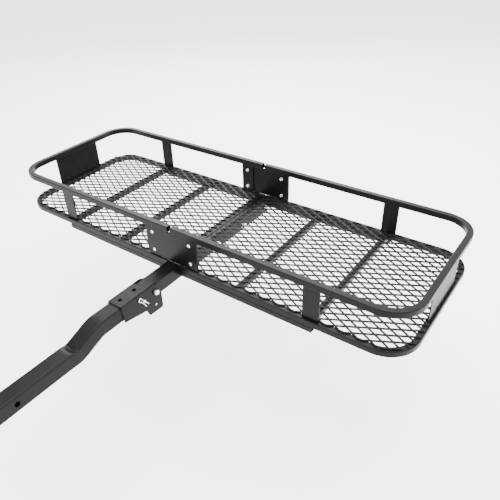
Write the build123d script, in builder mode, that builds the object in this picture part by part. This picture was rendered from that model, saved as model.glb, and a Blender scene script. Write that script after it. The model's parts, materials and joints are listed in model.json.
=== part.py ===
from build123d import *
import math
import os

# Folding hitch cargo carrier: a two-piece steel basket on a square tube that
# folds up about a bolt in the bracket of a drop shank.
# Row frame: X along the basket, +Y away from the vehicle, +Z up.
# Origin: centre of the hitch-pin hole in the shank.

# ---------------------------------------------------------------- dimensions
INSIDE_LENGTH = 1524.0          # basket inside, end rail to end rail
INSIDE_WIDTH = 508.0            # basket inside, front rail to rear rail
BASKET_HEIGHT = 152.0           # underside of the bottom rail to top of the top rail

RAIL = 20.0                     # rail, arm: outside of the square tube
RAIL_WALL = 1.6
RAIL_EDGE = 2.5                 # outside corner radius of the rail tube
BEND_RADIUS = 90.0              # basket corners, on the rail centreline
TOP_GAP = 12.0                  # between the two halves of the top rail

TUBE = 50.0                     # main tube and shank: outside of the square tube
TUBE_WALL = 3.0
TUBE_EDGE = 4.0

RISE = 30.0                     # upper tube axis above the shank axis
SHANK_TIP = 70.0                # hitch-pin hole to the end of the shank
KNEE_Y = 246.0                  # middle of the S-bend
KNEE_SLOPE = 22.0               # degrees
KNEE_RADIUS = 100.0
HITCH_PIN_R = 8.3

PIVOT_Y = 500.0                 # fold pivot, on the upper tube axis
BASKET_Y = 890.0                # middle of the basket
PLATE = 4.0                     # bracket, tabs and joining plates
BRACKET_FIT = 0.5               # between tube and bracket
FLANGE_FRONT = 35.0             # pivot back to the front edge of the top flange
SHANK_FRONT = 74.0              # pivot back to the end of the shank
TUBE_TAIL = 39.5                # pivot back to the tail of the main tube
TUBE_END_INSET = 6.0            # main tube short of the rear rail's face
CAP_THICK = 4.0
CAP_PLUG = 12.0
CAP_WALL = 2.0
CAP_FIT = 0.3
LOCK_RADIUS = 52.5              # pivot to the lock holes
RUNNING = 0.08                  # radial clearance of a pin in its hole
# Side view of the bracket: ahead of the pivot, above the tube axis.
BRACKET_OUTLINE = [
    (-136.0, 29.5),
    (-11.0, 29.5),
    (15.0, 19.0),
    (26.0, -16.0),
    (26.0, -77.0),
    (-33.0, -74.0),
    (-43.0, -48.0),
    (-131.0, -31.0),
]
LOBE_FLOOR = -60.0              # corners below this get the larger radius
BRACKET_CORNER = 4.5
LOBE_CORNER = 8.0
FLANGE_HOLES = (55.0, 113.0)    # pivot back to the holes in the top flange
FLANGE_HOLE_R = 6.5
WELD_LEG = 4.0

PIVOT_R = 5.0
PIVOT_FLATS = 16.0
PIVOT_HEAD = 6.5
PIVOT_NUT = 8.0
PIVOT_WASHER = (10.5, 2.0)      # outside radius, thickness
PIVOT_TIP = 4.5                 # bolt end past its nut

LOCK_R = 5.0
LOCK_HEAD = (9.0, 5.0)          # radius, thickness
LOCK_PLAY = 1.5                 # pin head to the bracket
LOCK_TIP = 6.5                  # clip hole to the pin's end

ANGLE_THICK = 3.0
ANGLE_DEPTH = 38.0
SEAM_HALF = 2.0                 # each half stops this far from the seam
SEAM_BOLT_YS = [-229.0, -76.0, 76.0, 229.0]
SEAM_BOLT_R = 5.0
SEAM_FLATS = 17.0
SEAM_HEAD = 6.4
SEAM_NUT = 8.0
SEAM_WASHER = (10.5, 2.0)
SEAM_TIP = 4.0

CROSSBAR_XS = {"inner": 250.0, "outer": 503.0}
ARM_REACH = 512.0
UPRIGHT_X = 503.0
UPRIGHT_WIDTH = 52.0
PANEL_WIDTH = 210.0
PANEL_THICK = 3.0
TAB_INNER = 53.0
TAB_OUTER = 103.0
JOIN_HALF = 105.0
JOIN_MARGIN = 3.0               # joining plate to the rails above and below
PLATE_BOLT_X = 77.0
PLATE_BOLT_RISE = 34.0          # bolt rows above and below the plate's middle
PLATE_BOLT_R = 3.0
PLATE_DOME = (6.0, 3.4)         # radius, height
PLATE_FLATS = 10.0
PLATE_NUT = 5.0
PLATE_WASHER = (6.2, 1.4)
PLATE_TIP = 2.5
PLATE_CORNER = 3.0

MESH_THICK = 2.5
MESH_LONG = 102.0               # long way of the diamond, along X
MESH_SHORT = 56.0
MESH_STRAND = 5.0
MESH_LAP = 7.0                  # mesh lying on the bottom rail
MESH_SEAM = 10.0                # mesh edge from the seam
SLIVER = 20.0                   # smallest opening kept at the mesh edge, square mm

CLIP_WIRE_R = 1.25
CLIP_TILT = 52.0                # degrees that the clip points down, towards the basket
# Route of the clip wire: along the straight leg, away from it. The pin is at the origin.
CLIP_ROUTE = [
    (30.0, 0.0),
    (-8.0, 0.0),
    (-18.0, 3.0),
    (-21.0, -5.0),
    (-15.0, -11.0),
    (-9.0, -6.5),
    (-5.0, -7.5),
    (10.0, -7.5),
    (26.0, -10.5),
]
CLIP_BENDS = [10.0, 3.4, 3.4, 3.0, 2.0, 5.0, 12.0]

# ------------------------------------------------------------- derived values
HALF_X = INSIDE_LENGTH / 2 + RAIL / 2           # rail centreline
HALF_Y = INSIDE_WIDTH / 2 + RAIL / 2
TUBE_TOP = RISE + TUBE / 2
FLOOR_TOP = TUBE_TOP + ANGLE_THICK              # top of the bottom rail
RAIL_BASE = FLOOR_TOP - RAIL
TOP_RAIL_Z = RAIL_BASE + BASKET_HEIGHT - RAIL / 2
WALL_TOP = TOP_RAIL_Z - RAIL / 2                # underside of the top rail
BRACKET_HALF = TUBE / 2 + BRACKET_FIT + PLATE   # half width, and top above the tube axis
BRACKET_REAR = -BRACKET_OUTLINE[0][0]           # pivot back to the rear edge
PIN_CLIP_X = BRACKET_HALF + 3.0                 # middle of the clip wire
LOCK_POINT = (PIVOT_Y - LOCK_RADIUS, RISE)
SEAM_BOLT_PLACES = [(BASKET_Y + y, RISE) for y in SEAM_BOLT_YS]
WALL_MIDDLE = (FLOOR_TOP + WALL_TOP) / 2
CLEAR = 2 * TUBE                                # cutters reach this far, past any wall
CLIP_DIRECTION = (0, math.cos(math.radians(CLIP_TILT)), -math.sin(math.radians(CLIP_TILT)))
PIVOT_PLANE = Plane(origin=(0, PIVOT_Y, RISE), x_dir=(0, 1, 0), z_dir=(1, 0, 0))
SIDES = {"left": -1, "right": 1}
WALLS = {"front": -1, "rear": 1}


def finish(builder, label):
    """Name a finished piece and write it as its own STEP file."""
    builder.part.label = label
    export_step(builder.part, f"parts/{label}.step")


def square_tube(size, wall, edge):
    """Sketch of a square tube's section, with its hollow."""
    RectangleRounded(size, size, edge)
    RectangleRounded(size - 2 * wall, size - 2 * wall, edge - wall / 2, mode=Mode.SUBTRACT)


def facing(x, y, z, direction):
    """Plane at a point whose Z axis points in a direction."""
    return Plane(origin=(x, y, z), z_dir=direction)


def hex_nut(across_flats, height, hole_radius):
    """Hex nut on the XY plane, chamfered on its outer face."""
    with BuildPart() as nut:
        with BuildSketch():
            RegularPolygon(across_flats / 2, 6, major_radius=False)
        extrude(amount=height)
        corner = across_flats * 0.60
        chamfered = [
            (0, 0),
            (corner, 0),
            (corner, height * 0.8),
            (corner * 0.84, height),
            (0, height),
        ]
        with BuildSketch(Plane.XZ):
            with BuildLine():
                Polyline(*chamfered, close=True)
            make_face()
        revolve(axis=Axis.Z, mode=Mode.INTERSECT)
        with Locations((0, 0, height)):
            Hole(hole_radius)
    return nut.part


def washer(outer_radius, hole_radius, thickness):
    """Flat washer on the XY plane."""
    with BuildPart() as ring:
        with BuildSketch():
            Circle(outer_radius)
            Circle(hole_radius, mode=Mode.SUBTRACT)
        extrude(amount=thickness)
    return ring.part


def dome_bolt(head_radius, head_height, shank_radius, length):
    """Carriage bolt: dome head above the XY plane, shank below it."""
    rim = head_height * 0.2
    crown = head_height - rim
    sphere = (head_radius**2 + crown**2) / (2 * crown)
    half = math.asin(head_radius / sphere) / 2
    middle = (sphere * math.sin(half), head_height - sphere * (1 - math.cos(half)))
    with BuildPart() as bolt:
        with BuildSketch(Plane.XZ):
            with BuildLine():
                sides = Polyline(
                    (0, head_height),
                    (0, -length),
                    (shank_radius, -length),
                    (shank_radius, 0),
                    (head_radius, 0),
                    (head_radius, rim),
                )
                ThreePointArc(sides @ 1, middle, sides @ 0)
            make_face()
        revolve(axis=Axis.Z)
    return bolt.part


def hex_bolt(across_flats, head_height, shank_radius, length):
    """Hex bolt: head above the XY plane, shank below it."""
    with BuildPart() as bolt:
        add(hex_nut(across_flats, head_height, shank_radius))
        with Locations((0, 0, head_height / 2)):
            Cylinder(shank_radius, head_height)
        with Locations((0, 0, -length / 2)):
            Cylinder(shank_radius, length)
    return bolt.part


def make_group(label, piece, places):
    """One node holding the same fastener at several places."""
    with BuildPart() as group:
        with Locations(*places):
            add(piece)
    finish(group, label)


# ------------------------------------------------------------- shank, bracket
def make_shank():
    run = RISE / math.tan(math.radians(KNEE_SLOPE)) / 2
    with BuildPart() as bent_shank:
        with BuildLine(Plane.YZ) as route:
            FilletPolyline(
                (-SHANK_TIP, 0),
                (KNEE_Y - run, 0),
                (KNEE_Y + run, RISE),
                (PIVOT_Y - SHANK_FRONT, RISE),
                radius=KNEE_RADIUS,
            )
        with BuildSketch(facing(0, -SHANK_TIP, 0, (0, 1, 0))):
            square_tube(TUBE, TUBE_WALL, TUBE_EDGE)
        sweep(path=route.wires()[0])
        with BuildSketch(Plane.YZ):
            Circle(HITCH_PIN_R)
        extrude(amount=TUBE, both=True, mode=Mode.SUBTRACT)
    finish(bent_shank, "bent_shank")


def make_bracket():
    """Folded plate: top flange over the shank, two side plates with a lobe in front."""
    inner = TUBE + 2 * BRACKET_FIT
    with BuildPart() as hinge_bracket:
        with BuildSketch(PIVOT_PLANE):
            with BuildLine():
                Polyline(*BRACKET_OUTLINE, close=True)
            make_face()
            ahead_of_rear = vertices().filter_by(lambda v: v.X > -BRACKET_REAR / 2)
            bends = ahead_of_rear.filter_by(lambda v: LOBE_FLOOR < v.Y < BRACKET_HALF - BRACKET_CORNER)
            fillet(bends, radius=BRACKET_CORNER)
            # A fillet replaces the face, so its corners are picked again.
            fillet(vertices().filter_by(lambda v: v.Y < LOBE_FLOOR), radius=LOBE_CORNER)
        extrude(amount=BRACKET_HALF, both=True)
        fillet(edges().filter_by(Axis.Y).group_by(Axis.Z)[-1], radius=PLATE)
        with Locations((0, PIVOT_Y, RISE + inner / 2)):
            down = (Align.CENTER, Align.CENTER, Align.MAX)
            Box(inner, 3 * BRACKET_REAR, 2 * CLEAR, align=down, mode=Mode.SUBTRACT)
        with Locations((0, PIVOT_Y - FLANGE_FRONT, RISE)):
            ahead = (Align.CENTER, Align.MIN, Align.CENTER)
            Box(inner, CLEAR, CLEAR, align=ahead, mode=Mode.SUBTRACT)
        with BuildSketch(PIVOT_PLANE):
            Circle(PIVOT_R + RUNNING)
            with Locations((-LOCK_RADIUS, 0), (0, -LOCK_RADIUS)):
                Circle(LOCK_R + RUNNING)
        extrude(amount=CLEAR, both=True, mode=Mode.SUBTRACT)
        with BuildSketch(Plane.XY.offset(RISE)):
            with Locations(*[(0, PIVOT_Y - back) for back in FLANGE_HOLES]):
                Circle(FLANGE_HOLE_R)
        extrude(amount=CLEAR, mode=Mode.SUBTRACT)
    finish(hinge_bracket, "hinge_bracket")


def make_shank_welds():
    """Fillet welds along the rear edge of the bracket, on the shank's top and sides."""
    leg = WELD_LEG
    rear = PIVOT_Y - BRACKET_REAR
    over_top = [(rear, TUBE_TOP), (rear - leg, TUBE_TOP), (rear, TUBE_TOP + leg)]
    with BuildPart() as shank_welds:
        with BuildSketch(Plane.YZ.offset(-TUBE / 2 + TUBE_EDGE)):
            with BuildLine():
                Polyline(*over_top, close=True)
            make_face()
        extrude(amount=TUBE - 2 * TUBE_EDGE)
        with BuildSketch(Plane.XY.offset(RISE - TUBE / 2 + TUBE_EDGE)):
            for side in SIDES.values():
                with BuildLine():
                    Polyline(
                        (side * TUBE / 2, rear),
                        (side * TUBE / 2, rear - leg),
                        (side * (TUBE / 2 + leg), rear),
                        close=True,
                    )
                make_face()
        extrude(amount=TUBE - 2 * TUBE_EDGE)
    finish(shank_welds, "shank_welds")


def make_pivot():
    washer_radius, washer_thick = PIVOT_WASHER
    outer = BRACKET_HALF + washer_thick
    length = 2 * outer + PIVOT_NUT + PIVOT_TIP
    bolt = hex_bolt(PIVOT_FLATS, PIVOT_HEAD, PIVOT_R, length)
    nut = hex_nut(PIVOT_FLATS, PIVOT_NUT, PIVOT_R)
    ring = washer(washer_radius, PIVOT_R + RUNNING, washer_thick)
    rings = [facing(sx * BRACKET_HALF, PIVOT_Y, RISE, (sx, 0, 0)) for sx in SIDES.values()]
    make_group("pivot_bolt", bolt, [facing(-outer, PIVOT_Y, RISE, (-1, 0, 0))])
    make_group("pivot_nut", nut, [facing(outer, PIVOT_Y, RISE, (1, 0, 0))])
    make_group("pivot_washers", ring, rings)


# --------------------------------------------------------------- lock and clip
def make_lock_pin():
    """Headed pin; its free end has a cross hole for the clip."""
    head = -BRACKET_HALF - LOCK_PLAY
    tip = PIN_CLIP_X + LOCK_TIP
    head_radius, head_thick = LOCK_HEAD
    with BuildPart() as lock_pin:
        with BuildSketch(facing(head, *LOCK_POINT, (1, 0, 0))):
            Circle(LOCK_R)
        extrude(amount=tip - head)
        chamfer(faces().sort_by(Axis.X)[-1].edges(), length=LOCK_R * 0.3)
        with BuildSketch(facing(head, *LOCK_POINT, (-1, 0, 0))):
            Circle(head_radius)
        extrude(amount=head_thick)
        fillet(faces().sort_by(Axis.X)[0].edges(), radius=head_thick * 0.24)
        with BuildSketch(facing(PIN_CLIP_X, *LOCK_POINT, CLIP_DIRECTION)):
            Circle(CLIP_WIRE_R + RUNNING)
        extrude(amount=2 * LOCK_R, both=True, mode=Mode.SUBTRACT)
    finish(lock_pin, "lock_pin")


def make_lock_clip():
    """Wire clip: straight leg through the pin, eye behind it, outer leg under the pin."""
    origin = (PIN_CLIP_X, *LOCK_POINT)
    clip_plane = Plane(origin=origin, x_dir=CLIP_DIRECTION, z_dir=(1, 0, 0))
    with BuildPart() as lock_clip:
        with BuildLine(clip_plane) as route:
            FilletPolyline(*CLIP_ROUTE, radius=CLIP_BENDS)
        with BuildSketch(Plane(origin=route.line @ 0, z_dir=route.line % 0)):
            Circle(CLIP_WIRE_R)
        sweep(path=route.wires()[0])
    finish(lock_clip, "lock_clip")


# ------------------------------------------------------------------ main tube
def make_main_tube():
    rear = BASKET_Y + HALF_Y + RAIL / 2 - TUBE_END_INSET
    tail = PIVOT_Y - TUBE_TAIL
    with BuildPart() as main_tube:
        with BuildSketch(facing(0, tail, RISE, (0, 1, 0))):
            square_tube(TUBE, TUBE_WALL, TUBE_EDGE)
        extrude(amount=rear - tail)
        with BuildSketch(Plane.YZ):
            with Locations((PIVOT_Y, RISE)):
                Circle(PIVOT_R + RUNNING)
            with Locations(*SEAM_BOLT_PLACES):
                Circle(SEAM_BOLT_R + RUNNING)
        extrude(amount=TUBE, both=True, mode=Mode.SUBTRACT)
    finish(main_tube, "main_tube")

    with BuildPart() as tube_end_cap:
        with BuildSketch(facing(0, rear, RISE, (0, 1, 0))):
            RectangleRounded(TUBE, TUBE, TUBE_EDGE)
        extrude(amount=CAP_THICK)
        fillet(faces().sort_by(Axis.Y)[-1].edges(), radius=CAP_THICK * 0.4)
        with BuildSketch(facing(0, rear, RISE, (0, -1, 0))):
            square_tube(TUBE - 2 * TUBE_WALL - 2 * CAP_FIT, CAP_WALL, TUBE_EDGE - TUBE_WALL / 2)
        extrude(amount=CAP_PLUG)
    finish(tube_end_cap, "tube_end_cap")


def make_arms():
    """Four arms under the bottom rails, from the main tube outwards."""
    for wall, sy in WALLS.items():
        for side, sx in SIDES.items():
            root = (sx * TUBE / 2, BASKET_Y + sy * HALF_Y, RAIL_BASE - RAIL / 2)
            with BuildPart() as arm:
                with BuildSketch(facing(*root, (sx, 0, 0))):
                    square_tube(RAIL, RAIL_WALL, RAIL_EDGE)
                extrude(amount=ARM_REACH - TUBE / 2)
            finish(arm, f"arm_{wall}_{side}")


# --------------------------------------------------------------- basket halves
def make_rail(label, side, start, height):
    """U-shaped rail of one half, open towards the seam."""
    y1, y2 = BASKET_Y - HALF_Y, BASKET_Y + HALF_Y
    with BuildPart() as rail:
        with BuildLine(Plane.XY.offset(height)) as route:
            FilletPolyline(
                (side * start, y1),
                (side * HALF_X, y1),
                (side * HALF_X, y2),
                (side * start, y2),
                radius=BEND_RADIUS,
            )
        with BuildSketch(facing(side * start, y1, height, (side, 0, 0))):
            square_tube(RAIL, RAIL_WALL, RAIL_EDGE)
        sweep(path=route.wires()[0])
    finish(rail, label)


def make_seam_angle(name, side):
    """Angle bar closing one half: one leg on the main tube, one down its side."""
    inner = TUBE / 2
    outer = inner + ANGLE_THICK
    length = 2 * HALF_Y + RAIL
    section = [
        (side * SEAM_HALF, TUBE_TOP),
        (side * SEAM_HALF, FLOOR_TOP),
        (side * outer, FLOOR_TOP),
        (side * outer, FLOOR_TOP - ANGLE_DEPTH),
        (side * inner, FLOOR_TOP - ANGLE_DEPTH),
        (side * inner, TUBE_TOP),
    ]
    notch = RAIL + 1                                # clears the arm below the rail
    notches = [(side * inner, BASKET_Y + sy * (length - RAIL) / 2, RAIL_BASE) for sy in WALLS.values()]
    with BuildPart() as angle:
        with BuildSketch(Plane.XZ.offset(-BASKET_Y - length / 2)):
            with BuildLine():
                Polyline(*section, close=True)
            make_face()
        extrude(amount=length)
        with Locations(*notches):
            down = (Align.CENTER, Align.CENTER, Align.MAX)
            Box(4 * ANGLE_THICK, notch, 2 * ANGLE_DEPTH, align=down, mode=Mode.SUBTRACT)
        with BuildSketch(Plane.YZ):
            with Locations(*SEAM_BOLT_PLACES):
                Circle(SEAM_BOLT_R + RUNNING)
        extrude(amount=CLEAR, both=True, mode=Mode.SUBTRACT)
    finish(angle, f"seam_angle_{name}")


def make_crossbars(name, side):
    """Square tubes between the bottom rails, flush with their tops."""
    inside = 2 * HALF_Y - RAIL
    for place, x in CROSSBAR_XS.items():
        start = (side * x, BASKET_Y - inside / 2, RAIL_BASE + RAIL / 2)
        with BuildPart() as crossbar:
            with BuildSketch(facing(*start, (0, 1, 0))):
                square_tube(RAIL, RAIL_WALL, RAIL_EDGE)
            extrude(amount=inside)
        finish(crossbar, f"crossbar_{name}_{place}")


def make_wall_plate(label, xs, y, zs, drilled, corner):
    """Flat plate standing along X; a drilled one takes the plate bolts."""
    x1, x2 = xs
    z1, z2 = zs
    with BuildPart() as plate:
        with BuildSketch(Plane.XY.offset(z1)):
            with Locations(((x1 + x2) / 2, y)):
                Rectangle(abs(x2 - x1), PLATE)
        extrude(amount=z2 - z1)
        if drilled:
            middle = Plane(origin=(0, y, WALL_MIDDLE), x_dir=(1, 0, 0), z_dir=(0, -1, 0))
            with BuildSketch(middle):
                with GridLocations(2 * PLATE_BOLT_X, 2 * PLATE_BOLT_RISE, 2, 2):
                    Circle(PLATE_BOLT_R + RUNNING)
            extrude(amount=PLATE, both=True, mode=Mode.SUBTRACT)
        if corner:
            fillet(edges().filter_by(Axis.Y).filter_by(GeomType.LINE), radius=corner)
    finish(plate, label)


def make_walls(name, side):
    """Uprights, seam tabs and end panel of one half."""
    half = UPRIGHT_WIDTH / 2
    upright = (side * (UPRIGHT_X - half), side * (UPRIGHT_X + half))
    tab = (side * TAB_INNER, side * TAB_OUTER)
    zs = (FLOOR_TOP, WALL_TOP)
    for wall, sy in WALLS.items():
        y = BASKET_Y + sy * HALF_Y
        make_wall_plate(f"upright_{wall}_{name}", upright, y, zs, drilled=False, corner=0)
        make_wall_plate(f"seam_tab_{wall}_{name}", tab, y, zs, drilled=True, corner=0)
    with BuildPart() as end_panel:
        with BuildSketch(Plane.XY.offset(FLOOR_TOP)):
            with Locations((side * HALF_X, BASKET_Y)):
                Rectangle(PANEL_THICK, PANEL_WIDTH)
        extrude(amount=WALL_TOP - FLOOR_TOP)
    finish(end_panel, f"end_panel_{name}")


def make_mesh_floor(name, side):
    """Diamond mesh sheet of one half, with a narrow edge strip."""
    far = HALF_X - RAIL / 2 + MESH_LAP
    half_width = HALF_Y - RAIL / 2 + MESH_LAP
    length = far - MESH_SEAM
    corner = BEND_RADIUS - RAIL / 2 + MESH_LAP
    slope = math.atan(MESH_SHORT / MESH_LONG)
    half_long = (MESH_LONG - MESH_STRAND / math.sin(slope)) / 2
    half_short = (MESH_SHORT - MESH_STRAND / math.cos(slope)) / 2
    middle = (side * (MESH_SEAM + length / 2), BASKET_Y)

    def outline(inset):
        with BuildSketch(Plane.XY.offset(FLOOR_TOP)) as sheet:
            with Locations(middle):
                Rectangle(length - 2 * inset, 2 * (half_width - inset))
            outer_corners = vertices().filter_by(lambda v: side * (v.X - middle[0]) > 0)
            fillet(outer_corners, radius=corner - inset)
        return sheet.sketch.face()

    inside = outline(MESH_STRAND)
    columns = int(length / MESH_LONG) + 2
    rows = int(2 * half_width / MESH_SHORT) + 2
    openings = []
    for i in range(-columns, columns + 1):
        for j in range(-rows, rows + 1):
            if (i + j) % 2:
                continue
            x = middle[0] + i * MESH_LONG / 2
            y = middle[1] + j * MESH_SHORT / 2
            diamond = Wire.make_polygon(
                [
                    (x + half_long, y, FLOOR_TOP),
                    (x, y + half_short, FLOOR_TOP),
                    (x - half_long, y, FLOOR_TOP),
                    (x, y - half_short, FLOOR_TOP),
                ]
            )
            openings += clipped(Face(diamond), inside)
    holes = [opening.outer_wire() for opening in openings]
    sheet_face = Face(outline(0).outer_wire(), holes)
    with BuildPart() as mesh_floor:
        extrude(sheet_face, amount=MESH_THICK, dir=(0, 0, 1))
    finish(mesh_floor, f"mesh_floor_{name}")


def clipped(diamond, inside):
    """The part of a diamond that lies inside a face, unless it is a sliver."""
    common = diamond & inside
    if common is None:
        return []
    return [face for face in common.faces() if face.area > SLIVER]


# --------------------------------------------------------- joints of the halves
def make_joining_plates():
    """Plates across the seam, bolted to the tabs."""
    washer_radius, washer_thick = PLATE_WASHER
    length = 2 * PLATE + washer_thick + PLATE_NUT + PLATE_TIP
    bolt = dome_bolt(*PLATE_DOME, PLATE_BOLT_R, length)
    ring = washer(washer_radius, PLATE_BOLT_R + RUNNING, washer_thick)
    nut = hex_nut(PLATE_FLATS, PLATE_NUT, PLATE_BOLT_R)
    xs = (-JOIN_HALF, JOIN_HALF)
    zs = (FLOOR_TOP + JOIN_MARGIN, WALL_TOP - JOIN_MARGIN)
    rows = (WALL_MIDDLE - PLATE_BOLT_RISE, WALL_MIDDLE + PLATE_BOLT_RISE)
    places = [(x, z) for x in (-PLATE_BOLT_X, PLATE_BOLT_X) for z in rows]
    for wall, sy in WALLS.items():
        plate_y = BASKET_Y + sy * (HALF_Y + PLATE)
        make_wall_plate(f"joining_plate_{wall}", xs, plate_y, zs, drilled=True, corner=PLATE_CORNER)
        outer = plate_y + sy * PLATE / 2
        inner = outer - sy * 2 * PLATE
        nut_y = inner - sy * washer_thick
        bolts = [facing(x, outer, z, (0, sy, 0)) for x, z in places]
        rings = [facing(x, inner, z, (0, -sy, 0)) for x, z in places]
        nuts = [facing(x, nut_y, z, (0, -sy, 0)) for x, z in places]
        make_group(f"plate_bolts_{wall}", bolt, bolts)
        make_group(f"plate_washers_{wall}", ring, rings)
        make_group(f"plate_nuts_{wall}", nut, nuts)


def make_seam_bolts():
    """Bolts through the main tube and both seam angles."""
    washer_radius, washer_thick = SEAM_WASHER
    outer = TUBE / 2 + ANGLE_THICK
    seat = outer + washer_thick
    length = 2 * seat + SEAM_NUT + SEAM_TIP
    bolt = hex_bolt(SEAM_FLATS, SEAM_HEAD, SEAM_BOLT_R, length)
    ring = washer(washer_radius, SEAM_BOLT_R + RUNNING, washer_thick)
    nut = hex_nut(SEAM_FLATS, SEAM_NUT, SEAM_BOLT_R)
    rings = []
    for place in SEAM_BOLT_PLACES:
        rings += [facing(sx * outer, *place, (sx, 0, 0)) for sx in SIDES.values()]
    make_group("seam_bolts", bolt, [facing(-seat, *place, (-1, 0, 0)) for place in SEAM_BOLT_PLACES])
    make_group("seam_washers", ring, rings)
    make_group("seam_nuts", nut, [facing(seat, *place, (1, 0, 0)) for place in SEAM_BOLT_PLACES])


os.makedirs("parts", exist_ok=True)
make_shank()
make_bracket()
make_shank_welds()
make_pivot()
make_lock_pin()
make_lock_clip()
make_main_tube()
make_arms()
for side_name, side_sign in SIDES.items():
    make_rail(f"top_rail_{side_name}", side_sign, TOP_GAP / 2, TOP_RAIL_Z)
    make_rail(f"bottom_rail_{side_name}", side_sign, TUBE / 2 + ANGLE_THICK, RAIL_BASE + RAIL / 2)
    make_seam_angle(side_name, side_sign)
    make_crossbars(side_name, side_sign)
    make_walls(side_name, side_sign)
    make_mesh_floor(side_name, side_sign)
make_joining_plates()
make_seam_bolts()
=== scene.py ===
import bpy, bmesh, json, math
from mathutils import Matrix, Vector


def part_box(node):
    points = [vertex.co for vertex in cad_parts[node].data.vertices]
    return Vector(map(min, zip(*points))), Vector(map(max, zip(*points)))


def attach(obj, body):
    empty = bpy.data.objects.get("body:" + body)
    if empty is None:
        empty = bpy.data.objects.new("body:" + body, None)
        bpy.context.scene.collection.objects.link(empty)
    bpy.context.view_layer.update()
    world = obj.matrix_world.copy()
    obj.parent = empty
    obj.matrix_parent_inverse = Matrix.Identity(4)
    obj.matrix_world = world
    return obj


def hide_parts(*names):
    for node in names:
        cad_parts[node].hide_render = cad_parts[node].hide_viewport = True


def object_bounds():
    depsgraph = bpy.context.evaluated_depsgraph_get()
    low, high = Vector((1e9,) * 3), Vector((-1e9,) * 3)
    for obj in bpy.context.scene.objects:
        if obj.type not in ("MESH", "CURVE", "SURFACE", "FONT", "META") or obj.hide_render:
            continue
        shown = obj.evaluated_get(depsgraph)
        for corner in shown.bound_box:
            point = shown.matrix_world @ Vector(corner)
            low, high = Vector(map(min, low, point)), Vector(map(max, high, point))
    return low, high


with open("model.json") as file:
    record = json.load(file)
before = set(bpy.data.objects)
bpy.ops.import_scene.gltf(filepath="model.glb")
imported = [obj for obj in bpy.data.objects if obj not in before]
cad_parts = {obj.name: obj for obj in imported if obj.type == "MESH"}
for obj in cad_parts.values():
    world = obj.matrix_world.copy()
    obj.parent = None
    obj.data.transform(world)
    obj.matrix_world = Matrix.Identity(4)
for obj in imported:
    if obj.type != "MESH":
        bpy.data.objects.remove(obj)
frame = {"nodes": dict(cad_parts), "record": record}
CAD_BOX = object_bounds()

# Folding hitch cargo carrier. Row frame in metres: X along the basket, +Y away from the
# vehicle, +Z up. Places come from the CAD nodes' boxes.
MM = 0.001
SIDES = {"left": -1, "right": 1}
WALLS = {"front": -1, "rear": 1}
SHARP = math.radians(35)        # edges sharper than this stay crisp
POINT = 0.01 * MM               # radius at which a turned profile closes


# ------------------------------------------------------------------ camera
CAMERA_PLACE = (1.02697, -0.36448, 1.05248)
CAMERA_LENS, SENSOR = 38.38, 36.0
CAMERA_SHIFT = (0.0334, -0.0077)


def make_camera():
    """Three-quarter view from the vehicle's side, slightly rolled."""
    azimuth, elevation, roll = math.radians(38.23), math.radians(33.84), math.radians(-2.91)
    back = Vector((math.sin(azimuth) * math.cos(elevation),
                   -math.cos(azimuth) * math.cos(elevation), math.sin(elevation)))
    right = Vector((0, 0, 1)).cross(back).normalized()
    up = back.cross(right)
    right, up = (math.cos(roll) * right + math.sin(roll) * up,
                 -math.sin(roll) * right + math.cos(roll) * up)
    cam = bpy.data.cameras.new("camera")
    cam.lens, cam.sensor_width = CAMERA_LENS, SENSOR
    cam.shift_x, cam.shift_y = CAMERA_SHIFT
    cam.clip_end = 200
    holder = bpy.data.objects.new("camera", cam)
    holder.matrix_world = Matrix.Translation(CAMERA_PLACE) @ Matrix(
        (right, up, back)).transposed().to_4x4()
    bpy.context.scene.collection.objects.link(holder)
    bpy.context.scene.camera = holder


# --------------------------------------------------------------- materials
class Nodes:
    """A small helper that adds and links shader nodes."""

    def __init__(self, name):
        self.mat = bpy.data.materials.new(name)
        self.mat.use_nodes = True
        self.tree = self.mat.node_tree
        self.shader = self.tree.nodes["Principled BSDF"]
        self.place = self.tree.nodes.new("ShaderNodeTexCoord").outputs["Object"]

    def noise(self, scale, detail=2.0, rough=0.5):
        n = self.tree.nodes.new("ShaderNodeTexNoise")
        n.inputs["Scale"].default_value = scale
        n.inputs["Detail"].default_value = detail
        n.inputs["Roughness"].default_value = rough
        self.tree.links.new(self.place, n.inputs["Vector"])
        return n.outputs["Fac"]

    def ramp(self, fac, stops):
        n = self.tree.nodes.new("ShaderNodeValToRGB")
        for element, (pos, col) in zip(n.color_ramp.elements, (stops[0], stops[-1])):
            element.position, element.color = pos, (*col, 1)
        for pos, col in stops[1:-1]:
            n.color_ramp.elements.new(pos).color = (*col, 1)
        self.tree.links.new(fac, n.inputs["Fac"])
        return n.outputs["Color"]

    def spread(self, fac, low, high):
        n = self.tree.nodes.new("ShaderNodeMapRange")
        n.inputs["From Min"].default_value, n.inputs["From Max"].default_value = 0.3, 0.7
        n.inputs["To Min"].default_value, n.inputs["To Max"].default_value = low, high
        self.tree.links.new(fac, n.inputs["Value"])
        return n.outputs["Result"]

    def bump(self, height, strength, distance, under=None):
        n = self.tree.nodes.new("ShaderNodeBump")
        n.inputs["Strength"].default_value = strength
        n.inputs["Distance"].default_value = distance
        self.tree.links.new(height, n.inputs["Height"])
        if under is not None:
            self.tree.links.new(under, n.inputs["Normal"])
        return n.outputs["Normal"]

    def rounded(self, radius):
        n = self.tree.nodes.new("ShaderNodeBevel")
        n.samples = 4
        n.inputs["Radius"].default_value = radius
        return n.outputs["Normal"]

    def set(self, name, source):
        self.tree.links.new(source, self.shader.inputs[name])


COAT_SPECULAR = 0.09            # low, so that the black stays dark under a bright sky


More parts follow.
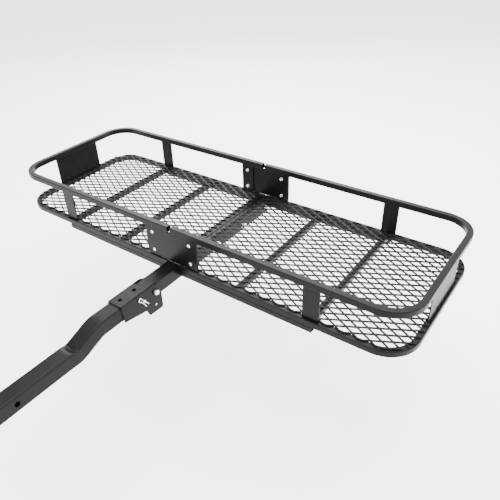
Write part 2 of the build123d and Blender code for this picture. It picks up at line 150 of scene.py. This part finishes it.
def coat_material(name, dark, light, rough_low, rough_high, edge=0.0008):
    """Satin powder coat: broad tone drift, orange peel, uneven gloss."""
    n = Nodes(name)
    n.set("Base Color", n.ramp(n.noise(9, 4), [(0.3, dark), (0.7, light)]))
    n.set("Roughness", n.spread(n.noise(70, 3), rough_low, rough_high))
    peel = n.bump(n.noise(520, 2), 0.16, 0.0004, n.rounded(edge))
    n.set("Normal", n.bump(n.noise(2600, 1), 0.05, 0.0001, peel))
    n.shader.inputs["Specular IOR Level"].default_value = COAT_SPECULAR
    return n.mat


def zinc_material(name, low, high):
    """Bright zinc plate with a faint yellow drift."""
    n = Nodes(name)
    n.set("Base Color", n.ramp(n.noise(160, 4), [(0.3, (0.62, 0.64, 0.66)), (0.55, (0.78, 0.79, 0.79)),
                                                 (0.75, (0.84, 0.83, 0.79))]))
    n.set("Roughness", n.spread(n.noise(420, 3), low, high))
    n.set("Normal", n.bump(n.noise(1500, 2), 0.12, 0.0002, n.rounded(0.0003)))
    n.shader.inputs["Metallic"].default_value = 1.0
    return n.mat


def plastic_material(name):
    n = Nodes(name)
    n.set("Base Color", n.ramp(n.noise(30, 3), [(0.3, (0.012, 0.012, 0.012)), (0.7, (0.022, 0.022, 0.023))]))
    n.set("Roughness", n.spread(n.noise(300, 2), 0.45, 0.62))
    n.set("Normal", n.bump(n.noise(1800, 3), 0.3, 0.0002, n.rounded(0.0006)))
    return n.mat


def floor_material():
    n = Nodes("studio_floor")
    n.set("Base Color", n.ramp(n.noise(0.6, 2), [(0.3, (0.93, 0.93, 0.93)), (0.7, (0.95, 0.95, 0.95))]))
    n.shader.inputs["Roughness"].default_value = 0.95
    return n.mat


COAT = coat_material("powder_coat", (0.0012, 0.0015, 0.0017), (0.0026, 0.0031, 0.0034), 0.30, 0.42)
MESH_COAT = coat_material("mesh_powder_coat", (0.0018, 0.0022, 0.0024), (0.0036, 0.0042, 0.0045),
                          0.32, 0.46, 0.0004)
ZINC = zinc_material("zinc_plate", 0.20, 0.36)
CAP = plastic_material("cap_plastic")
BY_SLOT = {"black_powder_coat": COAT, "mesh_coat": MESH_COAT, "zinc_hardware": ZINC, "cap_plastic": CAP}


def dress_cad_nodes():
    """Give every CAD node the material of its slot."""
    for entry in frame["record"]["subparts"]:
        mesh = frame["nodes"][entry["node"]].data
        mesh.materials.clear()
        mesh.materials.append(BY_SLOT[entry["material_slot"]])


# ------------------------------------------------------------------ pieces
def piece(name, bm, slot, body, replaces=()):
    """Turn a bmesh into a named piece that rides on a body."""
    bmesh.ops.remove_doubles(bm, verts=bm.verts, dist=1e-6)
    bmesh.ops.recalc_face_normals(bm, faces=bm.faces)
    mesh = bpy.data.meshes.new(name)
    bm.to_mesh(mesh)
    bm.free()
    mesh.materials.append(BY_SLOT[slot])
    obj = bpy.data.objects.new(name, mesh)
    bpy.context.scene.collection.objects.link(obj)
    mesh.shade_smooth()
    mesh.set_sharp_from_angle(angle=SHARP)
    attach(obj, body)
    if replaces:
        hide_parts(*replaces)
    return obj


# ------------------------------------------------------------------- floor
# Expanded mesh is slit and pulled, so every strand leans the same way.
CELL_LONG, CELL_SHORT = 51 * MM, 28 * MM
STRAND = 4.2 * MM
STRAND_THICK = 3.0 * MM
LEAN = 0.9 * MM
BLUNT = 2.2 * MM                # cut off the acute ends of each opening
END_LAP, SIDE_LAP = 8.5 * MM, 3.5 * MM      # mesh past the CAD sheet, at the ends and along the sides
FLOOR_CORNER = 87 * MM
CORNER_CUTS = 9
STEPS = (0.0, 0.10, 0.24, 0.5, 0.76, 0.90)  # places of the points along one side of a diamond


def diamond_ring(long_half, short_half, blunt):
    """Points round a diamond whose acute ends are blunted."""
    corners = [(long_half, 0), (0, short_half), (-long_half, 0), (0, -short_half)]
    ring = []
    for k in range(4):
        (ax, ay), (bx, by) = corners[k], corners[(k + 1) % 4]
        for t in STEPS:
            x, y = ax + (bx - ax) * t, ay + (by - ay) * t
            x = max(-long_half + blunt, min(long_half - blunt, x))
            ring.append((x, y))
    return ring


def mesh_floor(side_name, sx):
    """Expanded sheet over one half of the basket, trimmed to its rounded outline."""
    low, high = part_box(f"mesh_floor_{side_name}")
    base = low.z
    low.y -= SIDE_LAP
    high.y += SIDE_LAP
    if sx < 0:
        low.x -= END_LAP
    else:
        high.x += END_LAP
    slope = math.atan2(CELL_SHORT, CELL_LONG)
    outer = diamond_ring(CELL_LONG / 2, CELL_SHORT / 2, 0)
    inner = diamond_ring(CELL_LONG / 2 - STRAND / 2 / math.sin(slope),
                         CELL_SHORT / 2 - STRAND / 2 / math.cos(slope), BLUNT)
    reach = CELL_SHORT / 2 * 0.5
    bm = bmesh.new()
    middle = (low + high) / 2
    columns = int((high.x - low.x) / CELL_LONG) + 2
    rows = int((high.y - low.y) / CELL_SHORT) + 2
    for i in range(-columns, columns + 1):
        for j in range(-rows, rows + 1):
            if (i + j) % 2:
                continue
            cx, cy = middle.x + i * CELL_LONG / 2, middle.y + j * CELL_SHORT / 2
            layers = []
            for lift in (0.0, STRAND_THICK):
                o = [bm.verts.new((cx + x, cy + y, base + LEAN + lift)) for x, y in outer]
                n = [bm.verts.new((cx + x, cy + y,
                                   base + LEAN + lift - LEAN * max(-1, min(1, y / reach))))
                     for x, y in inner]
                layers.append((o, n))
            count = len(outer)
            for k in range(count):
                m = (k + 1) % count
                for (o, n), flip in zip(layers, (True, False)):
                    quad = [o[k], o[m], n[m], n[k]]
                    bm.faces.new(reversed(quad) if flip else quad)
                bm.faces.new([layers[0][1][k], layers[0][1][m], layers[1][1][m], layers[1][1][k]])
    bmesh.ops.remove_doubles(bm, verts=bm.verts, dist=2e-5)
    seam_x = high.x if sx < 0 else low.x
    far_x = low.x if sx < 0 else high.x
    radius = FLOOR_CORNER + SIDE_LAP
    cuts = [((seam_x, 0), (-sx, 0)), ((far_x, 0), (sx, 0)),
            ((0, low.y), (0, -1)), ((0, high.y), (0, 1))]
    for sy in (-1, 1):
        cx = far_x - sx * radius
        cy = (high.y if sy > 0 else low.y) - sy * radius
        for k in range(1, CORNER_CUTS):
            a = math.pi / 2 * k / CORNER_CUTS
            nx, ny = sx * math.cos(a), sy * math.sin(a)
            cuts.append(((cx + nx * radius, cy + ny * radius), (nx, ny)))
    for (px, py), (nx, ny) in cuts:
        geometry = bm.verts[:] + bm.edges[:] + bm.faces[:]
        cut = bmesh.ops.bisect_plane(bm, geom=geometry, plane_co=(px, py, 0), plane_no=(nx, ny, 0),
                                     clear_outer=True)
        rim = [e for e in cut["geom_cut"] if isinstance(e, bmesh.types.BMEdge)]
        bmesh.ops.holes_fill(bm, edges=rim, sides=0)
    return piece(f"expanded_mesh_{side_name}", bm, "mesh_coat", "carrier",
                 replaces=(f"mesh_floor_{side_name}",))


# ------------------------------------------------------------------- shank
SHANK_WALL = 3 * MM
SHANK_EDGE = 4 * MM
KNEE_FIRST, KNEE_SECOND = 208.87 * MM, 283.13 * MM      # corners of the shank's route
KNEE_SLOPE, KNEE_RADIUS = math.radians(22), 100 * MM
PIN_HOLE_R = 8.3 * MM
PINCH_Y, PINCH, PINCH_SPAN = 197 * MM, 12 * MM, 14 * MM     # crease pressed into the top
TUCK_Y, TUCK, TUCK_SPAN = 290 * MM, 3.0 * MM, 14 * MM       # smaller one in the underside
SWELL, SWELL_SPAN = 1.6 * MM, 16 * MM                       # the sides bulge beside both


def shank_point(y, rise):
    """Height and slope of the shank's axis at a place along Y."""
    reach = KNEE_RADIUS * math.tan(KNEE_SLOPE / 2)
    span = KNEE_RADIUS * math.sin(KNEE_SLOPE)
    first, last = KNEE_FIRST - reach, KNEE_SECOND + reach
    if y <= first:
        return 0.0, 0.0
    if y >= last:
        return rise, 0.0
    if y < first + span:
        a = math.asin((y - first) / KNEE_RADIUS)
        return KNEE_RADIUS * (1 - math.cos(a)), a
    if y > last - span:
        a = math.asin((last - y) / KNEE_RADIUS)
        return rise - KNEE_RADIUS * (1 - math.cos(a)), a
    return (y - KNEE_FIRST) * math.tan(KNEE_SLOPE), KNEE_SLOPE


def square_ring(half, edge, per_side=9, per_corner=4):
    """Points round a square with rounded corners."""
    points = []
    flat = half - edge
    for k in range(4):
        turn = Matrix.Rotation(k * math.pi / 2, 2)
        for i in range(per_side):
            points.append(turn @ Vector((half, -flat + 2 * flat * i / per_side)))
        for i in range(per_corner):
            a = math.pi / 2 * i / per_corner
            points.append(turn @ Vector((flat + edge * math.cos(a), flat + edge * math.sin(a))))
    return points


def bump_at(y, middle, width):
    """Height, 0 to 1, of a smooth bump along Y."""
    return math.exp(-((y - middle) / width) ** 2)


def bent_shank():
    """Square tube swept along the S-bend, creased as bending leaves it, with its pin hole."""
    low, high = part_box("bent_shank")
    half = high.x
    rise = high.z - half
    bm = bmesh.new()
    skins = []
    stations = []
    y = low.y
    while y < high.y - 1e-6:
        stations.append(y)
        y += 2.5 * MM if KNEE_FIRST - 0.05 < y < KNEE_SECOND + 0.05 else 8 * MM
    stations.append(high.y)
    for size, edge in ((half, SHANK_EDGE), (half - SHANK_WALL, SHANK_EDGE - SHANK_WALL / 2)):
        rings = []
        for y in stations:
            z, slope = shank_point(y, rise)
            pinch = PINCH * bump_at(y, PINCH_Y, PINCH_SPAN)
            tuck = TUCK * bump_at(y, TUCK_Y, TUCK_SPAN)
            swell = SWELL * (bump_at(y, PINCH_Y, SWELL_SPAN) + 0.5 * bump_at(y, TUCK_Y, SWELL_SPAN))
            ring = []
            for u, v in square_ring(size, edge):
                across = max(0.0, math.cos(math.pi / 2 * u / size)) ** 0.6
                if v > 0:
                    v -= pinch * (v / size) ** 3 * (0.35 + 0.65 * across)
                else:
                    v += tuck * (-v / size) ** 3 * (0.35 + 0.65 * across)
                u += math.copysign(swell * (abs(u) / size) ** 2, u)
                ring.append(bm.verts.new((u, y - v * math.sin(slope), z + v * math.cos(slope))))
            rings.append(ring)
        skins.append(rings)
    count = len(skins[0][0])
    for k in range(count):
        m = (k + 1) % count
        for rings, flip in zip(skins, (False, True)):
            for a, b in zip(rings, rings[1:]):
                quad = [a[k], a[m], b[m], b[k]]
                bm.faces.new(reversed(quad) if flip else quad)
        for end in (0, -1):
            a, b = skins[0][end], skins[1][end]
            bm.faces.new([a[k], a[m], b[m], b[k]])
    obj = piece("formed_shank", bm, "black_powder_coat", "hitch_mount", replaces=("bent_shank",))
    drill = bmesh.new()
    bmesh.ops.create_cone(drill, cap_ends=True, segments=48, radius1=PIN_HOLE_R, radius2=PIN_HOLE_R,
                          depth=4 * half, matrix=Matrix.Rotation(math.pi / 2, 4, "Y"))
    tool_mesh = bpy.data.meshes.new("drill")
    drill.to_mesh(tool_mesh)
    drill.free()
    tool = bpy.data.objects.new("drill", tool_mesh)
    bpy.context.scene.collection.objects.link(tool)
    cut = obj.modifiers.new("pin_hole", "BOOLEAN")
    cut.operation, cut.solver, cut.object = "DIFFERENCE", "EXACT", tool
    bpy.context.view_layer.update()
    shaped = bpy.data.meshes.new_from_object(obj.evaluated_get(bpy.context.evaluated_depsgraph_get()))
    obj.modifiers.clear()
    obj.data = shaped
    shaped.materials.clear()
    shaped.materials.append(COAT)
    shaped.set_sharp_from_angle(angle=SHARP)
    bpy.data.objects.remove(tool)


# --------------------------------------------------------------- fasteners
def lathe(bm, frame_matrix, profile, segments=40):
    """Turn (radius, height) points about a local Z axis; radius may be a function of the angle."""
    rings = []
    for radius, height in profile:
        ring = []
        for i in range(segments):
            a = 2 * math.pi * i / segments
            r = radius(a) if callable(radius) else radius
            h = height(a) if callable(height) else height
            ring.append(bm.verts.new(frame_matrix @ Vector((r * math.cos(a), r * math.sin(a), h))))
        rings.append(ring)
    for a, b in zip(rings, rings[1:]):
        for i in range(segments):
            m = (i + 1) % segments
            bm.faces.new([a[i], a[m], b[m], b[i]])
    return rings


def hexagon(apothem):
    """Radius of a hexagon as a function of the angle."""
    return lambda a: apothem / math.cos((a + math.pi / 6) % (math.pi / 3) - math.pi / 6)


def hex_body(bm, place, flats, height, bore):
    """Nut or bolt-head form with the curved edges a chamfer leaves; bore 0 makes a head."""
    apothem = flats / 2
    outline = hexagon(apothem)
    top = lambda a: height - 0.45 * max(0.0, outline(a) - apothem * 0.96)
    foot = lambda a: 0.30 * max(0.0, outline(a) - apothem * 0.98)
    profile = [(max(bore, POINT), 0.0), (apothem * 0.96, 0.0), (outline, foot), (outline, top),
               (apothem * 0.95, height)]
    if bore:
        profile += [(bore * 1.16, height), (bore, height - bore * 0.16), (bore, 0.0)]
    else:
        dish = height - 0.25 * MM
        profile += [(apothem * 0.80, height), (apothem * 0.76, dish), (POINT, dish)]
    lathe(bm, place, profile, 72)


def threaded_rod(bm, place, radius, start, end, pitch):
    """Rod with a real helical thread and a chamfered tip."""
    segments = 28
    depth = pitch * 0.42
    steps = int((end - start) / pitch * 6)
    profile = []
    for k in range(steps + 1):
        h = start + (end - start) * k / steps
        taper = min(1.0, (end - h) / (pitch * 0.9))

        def edge(a, h=h, taper=taper):
            phase = (h / pitch - a / (2 * math.pi)) % 1.0
            return radius - depth * abs(2 * phase - 1) - (1 - taper) * depth
        profile.append((edge, h))
    profile.append((POINT, end))
    profile.insert(0, (POINT, start))
    lathe(bm, place, profile, segments)


def axis_frame(point, direction):
    """Placement whose Z axis points in a direction."""
    turn = Vector(direction).to_track_quat("Z", "Y").to_matrix().to_4x4()
    return Matrix.Translation(point) @ turn


# Across flats, thread radius, pitch, head height, nut height.
HEX_SIZES = {"seam": (17 * MM, 5 * MM, 1.5 * MM, 6.4 * MM, 8 * MM),
             "pivot": (16 * MM, 5 * MM, 1.5 * MM, 6.5 * MM, 8 * MM)}
SEAM_INNER = 76 * MM            # inner seam bolts from the middle of the basket
PLATE_HEAD_R, PLATE_HEAD = 6 * MM, 3.4 * MM
PLATE_BOLT_R, PLATE_PITCH = 3 * MM, 1.0 * MM
PLATE_FLATS, PLATE_NUT = 10 * MM, 5 * MM


def plain_shank(radius, length):
    """Profile of a bolt's unthreaded part."""
    return [(POINT, 0), (radius * 0.97, 0), (radius * 0.97, length), (POINT, length)]


def through_bolts(prefix, bolt_node, nut_node, body, places):
    """Hex bolts along X: head on the left, nut and thread on the right."""
    flats, radius, pitch, head, nut = HEX_SIZES[prefix]
    bolt_low, bolt_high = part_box(bolt_node)
    nut_low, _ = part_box(nut_node)
    heads, nuts = bmesh.new(), bmesh.new()
    for y, z in places:
        seat = Vector((bolt_low.x + head, y, z))
        hex_body(heads, axis_frame(seat, (-1, 0, 0)), flats, head, 0.0)
        inward = axis_frame(seat, (1, 0, 0))
        nut_at, tip = nut_low.x - seat.x, bolt_high.x - seat.x
        lathe(heads, inward, plain_shank(radius, nut_at))
        threaded_rod(heads, inward, radius, nut_at, tip, pitch)
        hex_body(nuts, axis_frame((nut_low.x, y, z), (1, 0, 0)), flats, nut, radius * 0.99)
    piece(f"{prefix}_bolt_detail", heads, "zinc_hardware", body, replaces=(bolt_node,))
    piece(f"{prefix}_nut_detail", nuts, "zinc_hardware", body, replaces=(nut_node,))


def plate_fasteners(wall, sy):
    """Dome-headed bolts outside, nuts and thread ends inside, at each joining plate."""
    bolt_low, bolt_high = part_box(f"plate_bolts_{wall}")
    nut_low, nut_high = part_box(f"plate_nuts_{wall}")
    outer_y = (bolt_low.y + PLATE_HEAD) if sy < 0 else (bolt_high.y - PLATE_HEAD)
    tip_y = bolt_high.y if sy < 0 else bolt_low.y
    nut_y = nut_low.y if sy < 0 else nut_high.y
    reach, nut_at = abs(tip_y - outer_y), abs(nut_y - outer_y)
    heads, nuts = bmesh.new(), bmesh.new()
    for x in (bolt_low.x + PLATE_HEAD_R, bolt_high.x - PLATE_HEAD_R):
        for z in (bolt_low.z + PLATE_HEAD_R, bolt_high.z - PLATE_HEAD_R):
            dome = [(POINT, 0), (PLATE_HEAD_R, 0), (PLATE_HEAD_R, PLATE_HEAD * 0.16)]
            for k in range(1, 9):
                a = math.pi / 2 * k / 9
                dome.append((PLATE_HEAD_R * math.cos(a), PLATE_HEAD * (0.16 + 0.84 * math.sin(a))))
            dome.append((POINT, PLATE_HEAD))
            lathe(heads, axis_frame((x, outer_y, z), (0, sy, 0)), dome)
            inward = axis_frame((x, outer_y, z), (0, -sy, 0))
            lathe(heads, inward, plain_shank(PLATE_BOLT_R, nut_at))
            threaded_rod(heads, inward, PLATE_BOLT_R, nut_at, reach, PLATE_PITCH)
            hex_body(nuts, axis_frame((x, nut_y, z), (0, -sy, 0)), PLATE_FLATS, PLATE_NUT,
                     PLATE_BOLT_R * 0.99)
    piece(f"plate_bolt_detail_{wall}", heads, "zinc_hardware", "carrier",
          replaces=(f"plate_bolts_{wall}",))
    piece(f"plate_nut_detail_{wall}", nuts, "zinc_hardware", "carrier",
          replaces=(f"plate_nuts_{wall}",))


def all_fasteners():
    """Seam, pivot and joining-plate fasteners, at the places of their CAD nodes."""
    low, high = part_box("seam_nuts")
    half_flat = HEX_SIZES["seam"][0] / 2
    corner = half_flat / math.cos(math.pi / 6)
    z = (low.z + high.z) / 2
    inset = (high.z - low.z) / 2
    inset = corner if abs(inset - half_flat) < abs(inset - corner) else half_flat
    middle = (low.y + high.y) / 2
    outer = (high.y - low.y) / 2 - inset
    places = [(middle + d, z) for d in (-outer, -SEAM_INNER, SEAM_INNER, outer)]
    through_bolts("seam", "seam_bolts", "seam_nuts", "carrier", places)
    low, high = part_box("pivot_bolt")
    through_bolts("pivot", "pivot_bolt", "pivot_nut", "hitch_mount",
                  [((low.y + high.y) / 2, (low.z + high.z) / 2)])
    for wall, sy in WALLS.items():
        plate_fasteners(wall, sy)


# ------------------------------------------------------------------- welds
RIPPLE = 2.6 * MM               # length of one weld ripple
DRIFT = 900                     # slow change of a bead's size, radians per metre
STITCH_FIRST, STITCH_STEP, STITCH = 75 * MM, 125 * MM, 32 * MM      # rail welds, from the seam


def bead(bm, start, end, radius=1.9 * MM):
    """One weld run with its ripples, tapering at both ends."""
    start, end = Vector(start), Vector(end)
    length = (end - start).length
    steps = max(6, int(length / (0.9 * MM)))
    profile = [(POINT, 0.0)]
    for k in range(1, steps):
        s = length * k / steps
        fade = min(1.0, s / (2 * radius), (length - s) / (2 * radius)) ** 0.5
        ripple = 1 + 0.13 * math.cos(2 * math.pi * s / RIPPLE) + 0.05 * math.sin(s * DRIFT)
        profile.append((radius * fade * ripple, s))
    profile.append((POINT, length))
    lathe(bm, axis_frame(start, end - start), profile, 10)


def along_x(bm, node, z, y, inset=1.5 * MM):
    """Weld run along a node's length in X."""
    low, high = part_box(node)
    bead(bm, (low.x + inset, y, z), (high.x - inset, y, z))


def wall_welds(side_name, sx):
    """Uprights, tabs and end panel to the rails above and below them."""
    bm = bmesh.new()
    for wall in WALLS:
        for kind in ("upright", "seam_tab"):
            node = f"{kind}_{wall}_{side_name}"
            low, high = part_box(node)
            for z in (low.z + 0.4 * MM, high.z - 0.4 * MM):
                inner = high.y + 0.5 * MM if wall == "front" else low.y - 0.5 * MM
                along_x(bm, node, z, inner)
    low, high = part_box(f"end_panel_{side_name}")
    inner = high.x + 0.5 * MM if sx < 0 else low.x - 0.5 * MM
    for z in (low.z + 0.4 * MM, high.z - 0.4 * MM):
        for k in range(4):
            step = (high.y - low.y) / 4
            y = low.y + step * k + 6 * MM
            bead(bm, (inner, y, z), (inner, y + step - 16 * MM, z))
    piece(f"wall_welds_{side_name}", bm, "black_powder_coat", "carrier")


def floor_welds(side_name, sx):
    """Arms to main tube, bottom rail to its angle bar and arms, crossbars to the rail."""
    bm = bmesh.new()
    for wall, sy in WALLS.items():
        low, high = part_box(f"arm_{wall}_{side_name}")
        root = (low.x if sx > 0 else high.x) + sx * 0.3 * MM
        sides = (low.y - 0.3 * MM, high.y + 0.3 * MM) if sy < 0 else (low.y - 0.3 * MM,)
        for y in sides:
            bead(bm, (root, y, low.z + 2 * MM), (root, y, high.z - 2 * MM))
        bead(bm, (root, low.y + 2 * MM, low.z - 0.2 * MM), (root, high.y - 2 * MM, low.z - 0.2 * MM))
        inner_y = (high.y if sy < 0 else low.y) - sy * 0.2 * MM
        for k in range(4):
            x = sx * (STITCH_FIRST + STITCH_STEP * k)
            bead(bm, (x, inner_y, high.z), (x + sx * STITCH, inner_y, high.z))
        rail_low, rail_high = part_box(f"bottom_rail_{side_name}")
        edge = (rail_low.x if sx > 0 else rail_high.x) + sx * 0.2 * MM
        y0 = rail_low.y if sy < 0 else rail_high.y
        bead(bm, (edge, y0 - sy * 3 * MM, rail_high.z - 0.6 * MM),
             (edge, y0 - sy * 17 * MM, rail_high.z - 0.6 * MM), 1.5 * MM)
        bead(bm, (edge, y0 - sy * 1.7 * MM, rail_low.z + 3 * MM),
             (edge, y0 - sy * 1.7 * MM, rail_high.z - 3 * MM), 1.4 * MM)
        for place in ("inner", "outer"):
            bar_low, bar_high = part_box(f"crossbar_{side_name}_{place}")
            y = bar_low.y if sy < 0 else bar_high.y
            bead(bm, (bar_low.x + 2 * MM, y, bar_high.z - 0.8 * MM),
                 (bar_high.x - 2 * MM, y, bar_high.z - 0.8 * MM), 1.5 * MM)
            bead(bm, (bar_low.x + 2 * MM, y, bar_low.z), (bar_high.x - 2 * MM, y, bar_low.z), 1.5 * MM)
    piece(f"floor_welds_{side_name}", bm, "black_powder_coat", "carrier")


# ------------------------------------------------------------------- stage
def make_stage():
    """Plain pale floor under an even white sky."""
    bm = bmesh.new()
    bmesh.ops.create_grid(bm, x_segments=8, y_segments=8, size=60)
    mesh = bpy.data.meshes.new("studio_floor")
    bm.to_mesh(mesh)
    bm.free()
    mesh.materials.append(floor_material())
    floor = bpy.data.objects.new("studio_floor", mesh)
    floor.location.z = FLOOR_Z
    bpy.context.scene.collection.objects.link(floor)
    world = bpy.data.worlds.new("studio")
    world.use_nodes = True
    world.node_tree.nodes["Background"].inputs["Color"].default_value = (1, 1, 1, 1)
    world.node_tree.nodes["Background"].inputs["Strength"].default_value = WORLD_LIGHT
    bpy.context.scene.world = world


def soft_box(name, place, size, power):
    """Area light aimed at the basket."""
    light = bpy.data.lights.new(name, "AREA")
    light.shape, light.size, light.size_y, light.energy = "RECTANGLE", size[0], size[1], power
    holder = bpy.data.objects.new(name, light)
    holder.location = place
    holder.rotation_euler = (BASKET_MIDDLE - Vector(place)).to_track_quat("-Z", "Y").to_euler()
    bpy.context.scene.collection.objects.link(holder)


BASKET_MIDDLE = Vector((0, 0.8, 0))
FLOOR_Z = CAD_BOX[0][2] - 0.40
WORLD_LIGHT = 3.2
make_camera()
make_stage()
soft_box("back_box", (-2.0, 3.6, 2.4), (3.4, 2.4), 230)
soft_box("top_box", (0.4, 0.8, 3.6), (3.2, 3.2), 420)
soft_box("edge_box", (2.4, 3.6, 2.2), (1.6, 1.4), 120)
dress_cad_nodes()
bent_shank()
all_fasteners()
for side, sign in SIDES.items():
    mesh_floor(side, sign)
    wall_welds(side, sign)
    floor_welds(side, sign)
